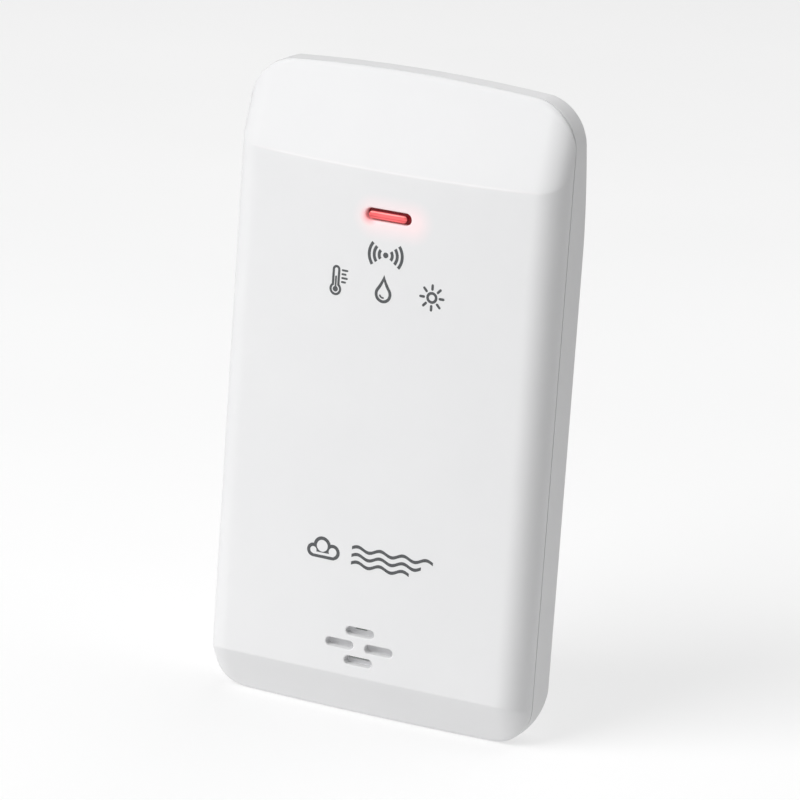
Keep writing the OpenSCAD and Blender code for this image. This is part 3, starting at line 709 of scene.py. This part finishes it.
def posts_and_ribs(b, side):
    """Posts for the screws and boards, and ribs round the window, on one side."""
    x = side * SCREW_POST_X
    for h in SCREW_POST_H:
        near = face_depth(x, h + SCREW_POST_R) + 1.2
        tube_post(b, x, h, SCREW_POST_R, near, SCREW_POST_END_D, SCREW_BORE_R, SCREW_BORE_D)
    x = side * BOARD_POST_X
    near = face_depth(x, BOARD_POST_H + BOARD_POST_R) + 1.0
    tube_post(b, x, BOARD_POST_H, BOARD_POST_R, near, BOARD_POST_END_D, SMALL_BORE_R, BOARD_BORE_D)
    tube_post(b, x, BOARD_PIN_H, BOARD_PIN_R, BOARD_PIN_START_D, BOARD_POST_END_D,
              BOARD_PIN_BORE_R, BOARD_PIN_BORE_D)
    tube_post(b, side * SENSOR_POST_X, VENT_H, SENSOR_POST_R, SENSOR_POST_START_D,
              SENSOR_POST_END_D, SMALL_BORE_R, SENSOR_BORE_D)
    for dx, dh, half_w, half_h in ((side * RIB_X, 0, RIB_HALF_W, RIB_UP),
                                   (0, side * RIB_H, RIB_ALONG, RIB_HALF_H)):
        loop = ((-half_w, -half_h), (half_w, -half_h), (half_w, half_h), (-half_w, half_h))
        b.loft([[place(px + dx, d, WINDOW_H + ph + dh) for px, ph in loop] for d in RIB_D])


def inner_posts():
    """Posts, window ribs and the lip behind the front cover's rim."""
    b = Builder()
    for side in (-1, 1):
        posts_and_ribs(b, side)
    raised = [[(x, max(h, low)) for x, h in case_outline(inset)]
              for inset, low in zip(SKIRT_INSETS, SKIRT_LOW)]
    near = [[place(x, min(face_depth(x, h) + 1.0, PARTING_D), h) for x, h in loop]
            for loop in raised]
    far = [[place(x, SKIRT_END_D, h) for x, h in loop] for loop in raised]
    rings = [b.loop(loop) for loop in (near[0], far[0], far[1], near[1])]
    b.tube(rings + rings[:1])
    b.piece("front_cover_posts", CASE_WHITE)


inner_posts()


# --------------------------------------------------------------------------- light guide

# outlines of the guide, each as how far it has grown and its depth
BAR_PROFILE = ((-0.5, 0.30), (-0.26, 0.31), (-0.10, 0.36), (-0.02, 0.45), (0, 0.56), (0, 1.2))
SEAT_PROFILE = ((0, 1.2), (0, 1.7), (1.0, 1.7), (1.0, 2.7), (0.0, 2.7), (0.0, 3.6), (-0.15, 3.7))
SEAT_PLAY = 0.1


def light_guide():
    """A bar that nearly fills the slot, its seat, and the flange behind the wall."""
    b = Builder()
    bar_place = (BAR_SHIFT[0], WINDOW_H + BAR_SHIFT[1], BAR_LEN, BAR_W)
    seat_place = (0, WINDOW_H, WINDOW_LEN - SEAT_PLAY, WINDOW_W - SEAT_PLAY)
    b.loft([[place(x, d, h) for x, h in stadium(*where, grow)]
            for where, profile in ((bar_place, BAR_PROFILE), (seat_place, SEAT_PROFILE))
            for grow, d in profile])
    guide = b.piece("light_guide", LENS)
    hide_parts("light_pipe")


light_guide()


# --------------------------------------------------------------------------- printed signs

INK_UP, INK_DOWN = 0.018, 0.03


def bar(x0, y0, x1, y1, width):
    """Straight stroke with round ends."""
    turn = math.degrees(math.atan2(y1 - y0, x1 - x0))
    r = width / 2
    return arc(x1, y1, r, turn - 90, turn + 90, 8) + arc(x0, y0, r, turn + 90, turn + 270, 8)


def bow(cx, cy, r, start, end, width):
    """Arc-shaped stroke."""
    count = max(8, int(abs(end - start) / 7))
    outer = arc(cx, cy, r + width / 2, start, end, count)
    return outer + arc(cx, cy, r - width / 2, end, start, count)


def disc(cx, cy, r):
    """Round dot."""
    return arc(cx, cy, r, 0, 360, 28)[:-1]


def drop_shape(cx, cy, r, tall):
    """Water drop: round below, pointed above."""
    lower = arc(cx, cy, r, -212, 32, 22)
    tip = (cx, cy + tall)

    def hollow(start, end, bend):
        """Points between two ends, bent sideways."""
        return [(start[0] + (end[0] - start[0]) * t + bend * math.sin(math.pi * t),
                 start[1] + (end[1] - start[1]) * t) for t in (0.25, 0.5, 0.75)]

    return lower + hollow(lower[-1], tip, -0.10) + [tip] + hollow(tip, lower[0], 0.10)


def within(point, loop):
    """Whether a point lies inside a loop."""
    x, y = point
    hit = False
    for (x0, y0), (x1, y1) in zip(loop, loop[1:] + loop[:1]):
        if (y0 > y) != (y1 > y) and x < (x1 - x0) * (y - y0) / (y1 - y0) + x0:
            hit = not hit
    return hit


def sign(name, strokes):
    """A thin printed shape on the face. Each stroke is (loop, True to add or False to cut out)."""
    points, faces = triangulate([loop for loop, _ in strokes], [], 1e-5)
    kept = []
    for face in faces:
        middle = middle_of(points, face)
        hits = [adds for loop, adds in strokes if within(middle, loop)]
        if hits and hits[-1]:
            kept.append(tuple(face))
    b = Builder()
    used = sorted({i for face in kept for i in face})
    top, low = ({i: b.add(place(points[i].x, face_depth(*points[i]) + d, points[i].y))
                 for i in used} for d in (-INK_UP, INK_DOWN))
    sides = {}
    for face in kept:
        b.faces.append(tuple(top[i] for i in face))
        b.faces.append(tuple(low[i] for i in reversed(face)))
        for edge in zip(face, face[1:] + face[:1]):
            sides.setdefault(frozenset(edge), []).append(edge)
    for found in sides.values():
        if len(found) == 1:
            i, j = found[0]
            b.faces.append((top[i], low[i], low[j], top[j]))
    b.piece(name, INK)


def radio_sign(cx, cy):
    """Dot with waves on both sides."""
    strokes = [(disc(cx, cy, 0.5), True)]
    for r in (1.25, 2.2, 3.15):
        for middle in (0, 180):
            strokes.append((bow(cx, cy, r, middle - 38, middle + 38, 0.56), True))
    sign("sign_radio", strokes)


def thermometer_sign(cx, cy):
    """Thermometer with a short scale."""
    strokes = [(bar(cx, cy - 1.1, cx, cy + 2.0, 1.5), True), (disc(cx, cy - 1.5, 1.15), True),
               (bar(cx, cy - 1.1, cx, cy + 2.0, 0.62), False), (disc(cx, cy - 1.5, 0.72), False),
               (disc(cx, cy - 1.5, 0.5), True), (bar(cx, cy - 1.4, cx, cy + 0.7, 0.34), True)]
    for y, end in ((2.0, 2.1), (1.3, 1.8), (0.6, 2.1), (-0.1, 1.8)):
        strokes.append((bar(cx + 1.2, cy + y, cx + end, cy + y, 0.36), True))
    sign("sign_thermometer", strokes)


def humidity_sign(cx, cy):
    """Drop with a glint."""
    strokes = [(drop_shape(cx, cy - 0.9, 1.6, 3.4), True), (drop_shape(cx, cy - 0.9, 1.06, 2.3), False),
               (bow(cx, cy - 0.9, 0.66, 195, 285, 0.32), True)]
    sign("sign_humidity", strokes)


def sun_sign(cx, cy):
    """Sun with eight rays."""
    strokes = [(disc(cx, cy, 1.05), True), (disc(cx, cy, 0.56), False)]
    for i in range(8):
        turn = math.radians(45 * i)
        c, s = math.cos(turn), math.sin(turn)
        strokes.append((bar(cx + 1.5 * c, cy + 1.5 * s, cx + 2.15 * c, cy + 2.2 * s, 0.46), True))
    sign("sign_sun", strokes)


def cloud_sign(cx, cy):
    """Outlined cloud."""
    blobs = [(-2.1, -0.35, 1.25), (-0.4, 0.65, 1.7), (1.7, -0.15, 1.4)]
    strokes = [(disc(cx + x, cy + y, r), True) for x, y, r in blobs]
    strokes.append((bar(cx - 2.1, cy - 0.95, cx + 1.8, cy - 0.95, 1.3), True))
    strokes += [(disc(cx + x, cy + y, r - 0.62), False) for x, y, r in blobs]
    strokes.append((bar(cx - 2.1, cy - 0.82, cx + 1.8, cy - 0.80, 0.46), False))
    sign("sign_cloud", strokes)


WAVE_LEN = 4.4


def wave(x0, x1, y, height, width):
    """Wavy stroke along the width."""
    steps = spread(x0, x1, 0.25)
    turn = [2 * math.pi * (x - x0) / WAVE_LEN for x in steps]
    upper = [(x, y + height * math.sin(a) + width / 2) for x, a in zip(steps, turn)]
    lower = [(x, y + height * math.sin(a) - width / 2) for x, a in zip(steps, turn)]
    return lower + upper[::-1]


def air_sign(x0, x1, cy):
    """Three waves of moving air, each shorter than the one above."""
    strokes = [(wave(x0, x1 - shorter, cy + rise, 0.36, 0.6), True)
               for shorter, rise in ((0, 1.45), (2.2, 0.05), (4.4, -1.35))]
    sign("sign_air", strokes)


UPPER_SIGN_H, SIGN_ROW_H, SIGN_STEP, LOWER_SIGN_H = 85.0, 79.0, 9.2, 30.4
radio_sign(0, UPPER_SIGN_H)
thermometer_sign(-SIGN_STEP, SIGN_ROW_H)
humidity_sign(0, SIGN_ROW_H)
sun_sign(SIGN_STEP, SIGN_ROW_H)
cloud_sign(-8.0, LOWER_SIGN_H)
air_sign(-2.6, 13.0, LOWER_SIGN_H)


# --------------------------------------------------------------------------- CAD nodes that stay

WELD_GAP, BEVEL_ANGLE, BEVEL_STEPS = 0.002, 34, 2
EDGE_WIDTHS = {
    "battery_door": 0.16, "sensor_shroud": 0.12, "reset_button": 0.2, "channel_knob": 0.2,
    "reset_switch": 0.1, "channel_switch": 0.1, "battery_left": 0.25, "battery_right": 0.25,
    "circuit_board": 0.08, "sensor_board": 0.08, "humidity_sensor": 0.08}


def soften(node, width):
    """Rounds a CAD node's sharp edges a little, without touching its mesh."""
    obj = frame["nodes"][node]
    weld = obj.modifiers.new("join", "WELD")
    weld.merge_threshold = WELD_GAP * MM
    bevel = obj.modifiers.new("edges", "BEVEL")
    bevel.width = width * MM
    bevel.segments = BEVEL_STEPS
    bevel.limit_method = "ANGLE"
    bevel.angle_limit = math.radians(BEVEL_ANGLE)
    bevel.harden_normals = True
    bevel.use_clamp_overlap = True


SUBPARTS = {s["node"]: s["material_slot"] for s in frame["record"]["subparts"]}
for name, obj in frame["nodes"].items():
    obj.data.materials.clear()
    obj.data.materials.append(SLOTS[SUBPARTS[name]])
    for polygon in obj.data.polygons:
        polygon.material_index = 0

for name, width in EDGE_WIDTHS.items():
    soften(name, width)


# --------------------------------------------------------------------------- stage

CAMERA_AZIMUTH, CAMERA_ELEVATION, CAMERA_ROLL = 24.60, 15.33, 4.03
CAMERA_DISTANCE, CAMERA_ASIDE, CAMERA_UP = 872.9, -4.157, 0.795
FOCAL_PIXELS, FRAME_PIXELS, SENSOR = 5041, 800, 36
CAMERA_AIM_H, LIGHT_AIM_H = 60, 62
FLOOR_HALF = 6.0
# white paper lies along the camera's direction, this far to each side, and fades into grey
PAPER_NEAR, PAPER_FAR = 0.13, 0.27
PAPER_LIGHT, FLOOR_LIGHT, WORLD_LIGHT = 0.43, 0.16, 0.12


def backwards(azimuth, elevation):
    """Direction from the object towards a camera or lamp, from its angles in degrees."""
    a, e = math.radians(azimuth), math.radians(elevation)
    return Vector((math.sin(a) * math.cos(e), -math.cos(a) * math.cos(e), math.sin(e)))


def studio_floor():
    """Pale paper floor that shines a little, so that it reads white as in the photograph."""
    mesh = bpy.data.meshes.new("floor")
    size, z = FLOOR_HALF, FLOOR_Z
    mesh.from_pydata([(-size, -size, z), (size, -size, z), (size, size, z), (-size, size, z)],
                     [], [(0, 1, 2, 3)])
    floor = bpy.data.objects.new("floor", mesh)
    bpy.context.scene.collection.objects.link(floor)
    m = Nodes("floor_paper")
    x, y, _ = m.axes()
    turn = math.radians(CAMERA_AZIMUTH)
    across = m.math("ABSOLUTE", m.math("ADD", m.math("MULTIPLY", x, math.cos(turn)),
                                       m.math("MULTIPLY", y, math.sin(turn))))
    paper = m.fade(across, PAPER_NEAR, PAPER_FAR)
    white = m.ramp(m.noise(6, 3), (0.3, (0.35, 0.35, 0.35)), (0.7, (0.37, 0.37, 0.37)))
    shine = m.math("ADD", FLOOR_LIGHT, m.math("MULTIPLY", paper, PAPER_LIGHT))
    m.set(Base_Color=m.mix(paper, (0.40, 0.40, 0.40, 1), white), Roughness=0.9,
          Specular_IOR_Level=0.1, Emission_Color=(1, 1, 1, 1), Emission_Strength=shine)
    floor.data.materials.append(m.material)


def softbox(name, azimuth, elevation, distance, size, power):
    """Square area lamp that points at the middle of the object."""
    lamp = bpy.data.lights.new(name, "AREA")
    lamp.shape = "RECTANGLE"
    lamp.size, lamp.size_y = size, size
    lamp.energy = power
    obj = bpy.data.objects.new(name, lamp)
    back = backwards(azimuth, elevation)
    obj.location = place(0, 0, LIGHT_AIM_H) + back * distance
    obj.rotation_mode = "QUATERNION"
    obj.rotation_quaternion = (-back).to_track_quat("-Z", "Y")
    bpy.context.scene.collection.objects.link(obj)


def studio():
    """Floor, even surroundings and three soft lamps."""
    studio_floor()
    world = bpy.data.worlds.new("studio")
    world.use_nodes = True
    background = world.node_tree.nodes["Background"]
    background.inputs["Color"].default_value = (1, 1, 1, 1)
    background.inputs["Strength"].default_value = WORLD_LIGHT
    bpy.context.scene.world = world
    softbox("key", -32, 36, 1.5, 1.0, 25.0)
    softbox("rear", 168, 62, 1.5, 1.2, 9.5)
    softbox("side", 106, 48, 0.5, 0.3, 0.44)
    bpy.context.scene.view_settings.view_transform = "Standard"


studio()


def camera():
    """Long lens at the photograph's viewing angle, turned a little about its axis."""
    back = backwards(CAMERA_AZIMUTH, CAMERA_ELEVATION)
    right = (-back).cross(Vector((0, 0, 1))).normalized()
    up = right.cross(-back)
    roll = math.radians(CAMERA_ROLL)
    turned_right = right * math.cos(roll) + up * math.sin(roll)
    turned_up = up * math.cos(roll) - right * math.sin(roll)
    data = bpy.data.cameras.new("camera")
    data.sensor_width = SENSOR
    data.lens = FOCAL_PIXELS / FRAME_PIXELS * SENSOR
    data.clip_start, data.clip_end = 0.05, 50
    obj = bpy.data.objects.new("camera", data)
    away = back * CAMERA_DISTANCE - turned_right * CAMERA_ASIDE - turned_up * CAMERA_UP
    turn = Matrix((turned_right, turned_up, back)).transposed().to_4x4()
    obj.matrix_world = Matrix.Translation(place(0, 0, CAMERA_AIM_H) + away * MM) @ turn
    bpy.context.scene.collection.objects.link(obj)
    bpy.context.scene.camera = obj


camera()
